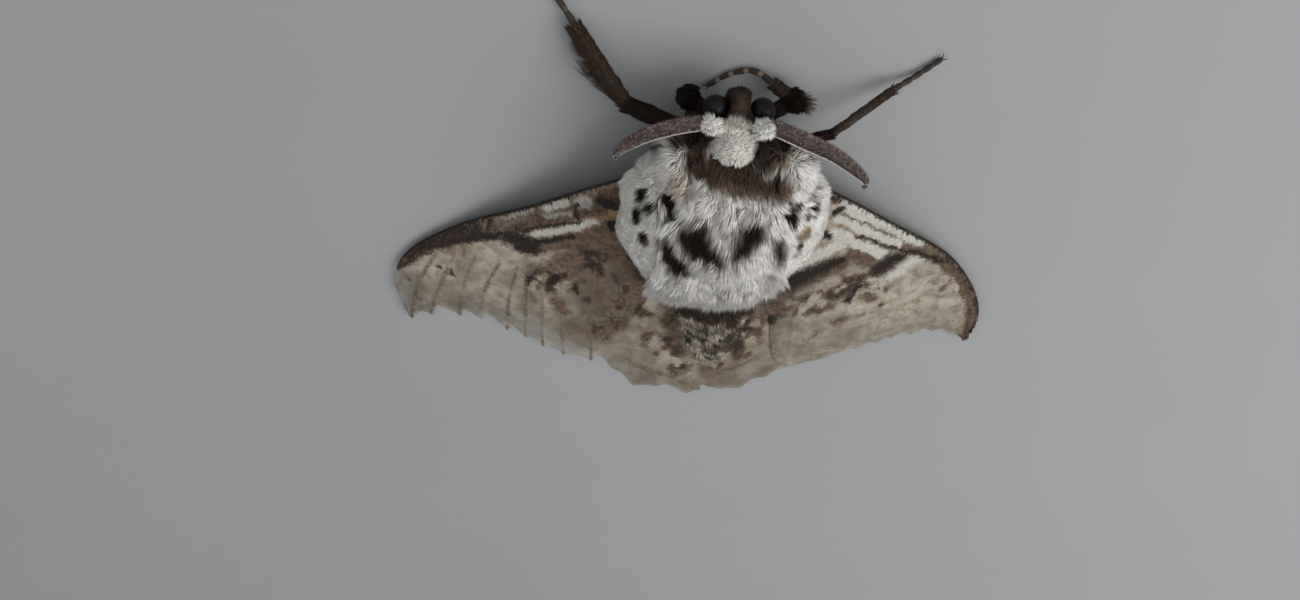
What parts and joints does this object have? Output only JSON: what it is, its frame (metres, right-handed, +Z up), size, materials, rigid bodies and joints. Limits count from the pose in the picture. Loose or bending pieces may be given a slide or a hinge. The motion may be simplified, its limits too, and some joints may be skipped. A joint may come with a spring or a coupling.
{
  "type": "moth model",
  "caption": "Life-size still model of a stout furry moth at rest, white mantle with dark spots, mottled brown wings spread low, set on the floor.",
  "frame": {"origin": "on the floor, at the middle of the moth's outline seen from above", "axes": "+Z up, -Y the way the head points, +X the moth's own left"},
  "size_m": [0.0468, 0.0406, 0.0095],
  "materials": {
    "head_fur": "short dark brown hair on the face, white woolly crown and tufts",
    "collar_fur": "dense dark brown hair",
    "mantle_fur": "long soft white hair with dark brown spots",
    "abdomen_fur": "brown hair with narrow pale bands",
    "eye": "glossy near-black facets",
    "feeler": "ribbed reddish grey-brown with a pale shaft",
    "forewing": "matt scales in brown, black and white over a thin beige membrane",
    "hindwing": "thin beige membrane with fine veins and brown scales",
    "leg_fur": "dark brown to black hair",
    "tarsus": "slim ringed feet, brown with paler bands"
  },
  "bodies": {
    "root": {"head": "head_fur", "collar": "collar_fur", "thorax": "mantle_fur", "tegula_left": "mantle_fur", "tegula_right": "mantle_fur", "abdomen": "abdomen_fur", "eye_left": "eye", "eye_right": "eye", "palp_left": "head_fur", "palp_right": "head_fur", "antenna_left": "feeler", "antenna_right": "feeler", "forewing_left": "forewing", "forewing_right": "forewing", "hindwing_left": "hindwing", "hindwing_right": "hindwing", "foreleg_femur_left": "leg_fur", "foreleg_femur_right": "leg_fur", "foreleg_tibia_left": "leg_fur", "foreleg_tibia_right": "leg_fur", "foreleg_tarsus_left": "tarsus", "foreleg_tarsus_right": "tarsus", "midleg_femur_left": "leg_fur", "midleg_femur_right": "leg_fur", "midleg_tibia_left": "leg_fur", "midleg_tibia_right": "leg_fur", "midleg_tarsus_left": "tarsus", "midleg_tarsus_right": "tarsus", "hindleg_femur_left": "leg_fur", "hindleg_femur_right": "leg_fur", "hindleg_tibia_left": "leg_fur", "hindleg_tibia_right": "leg_fur", "hindleg_tarsus_left": "tarsus", "hindleg_tarsus_right": "tarsus"}
  },
  "joints": []
}
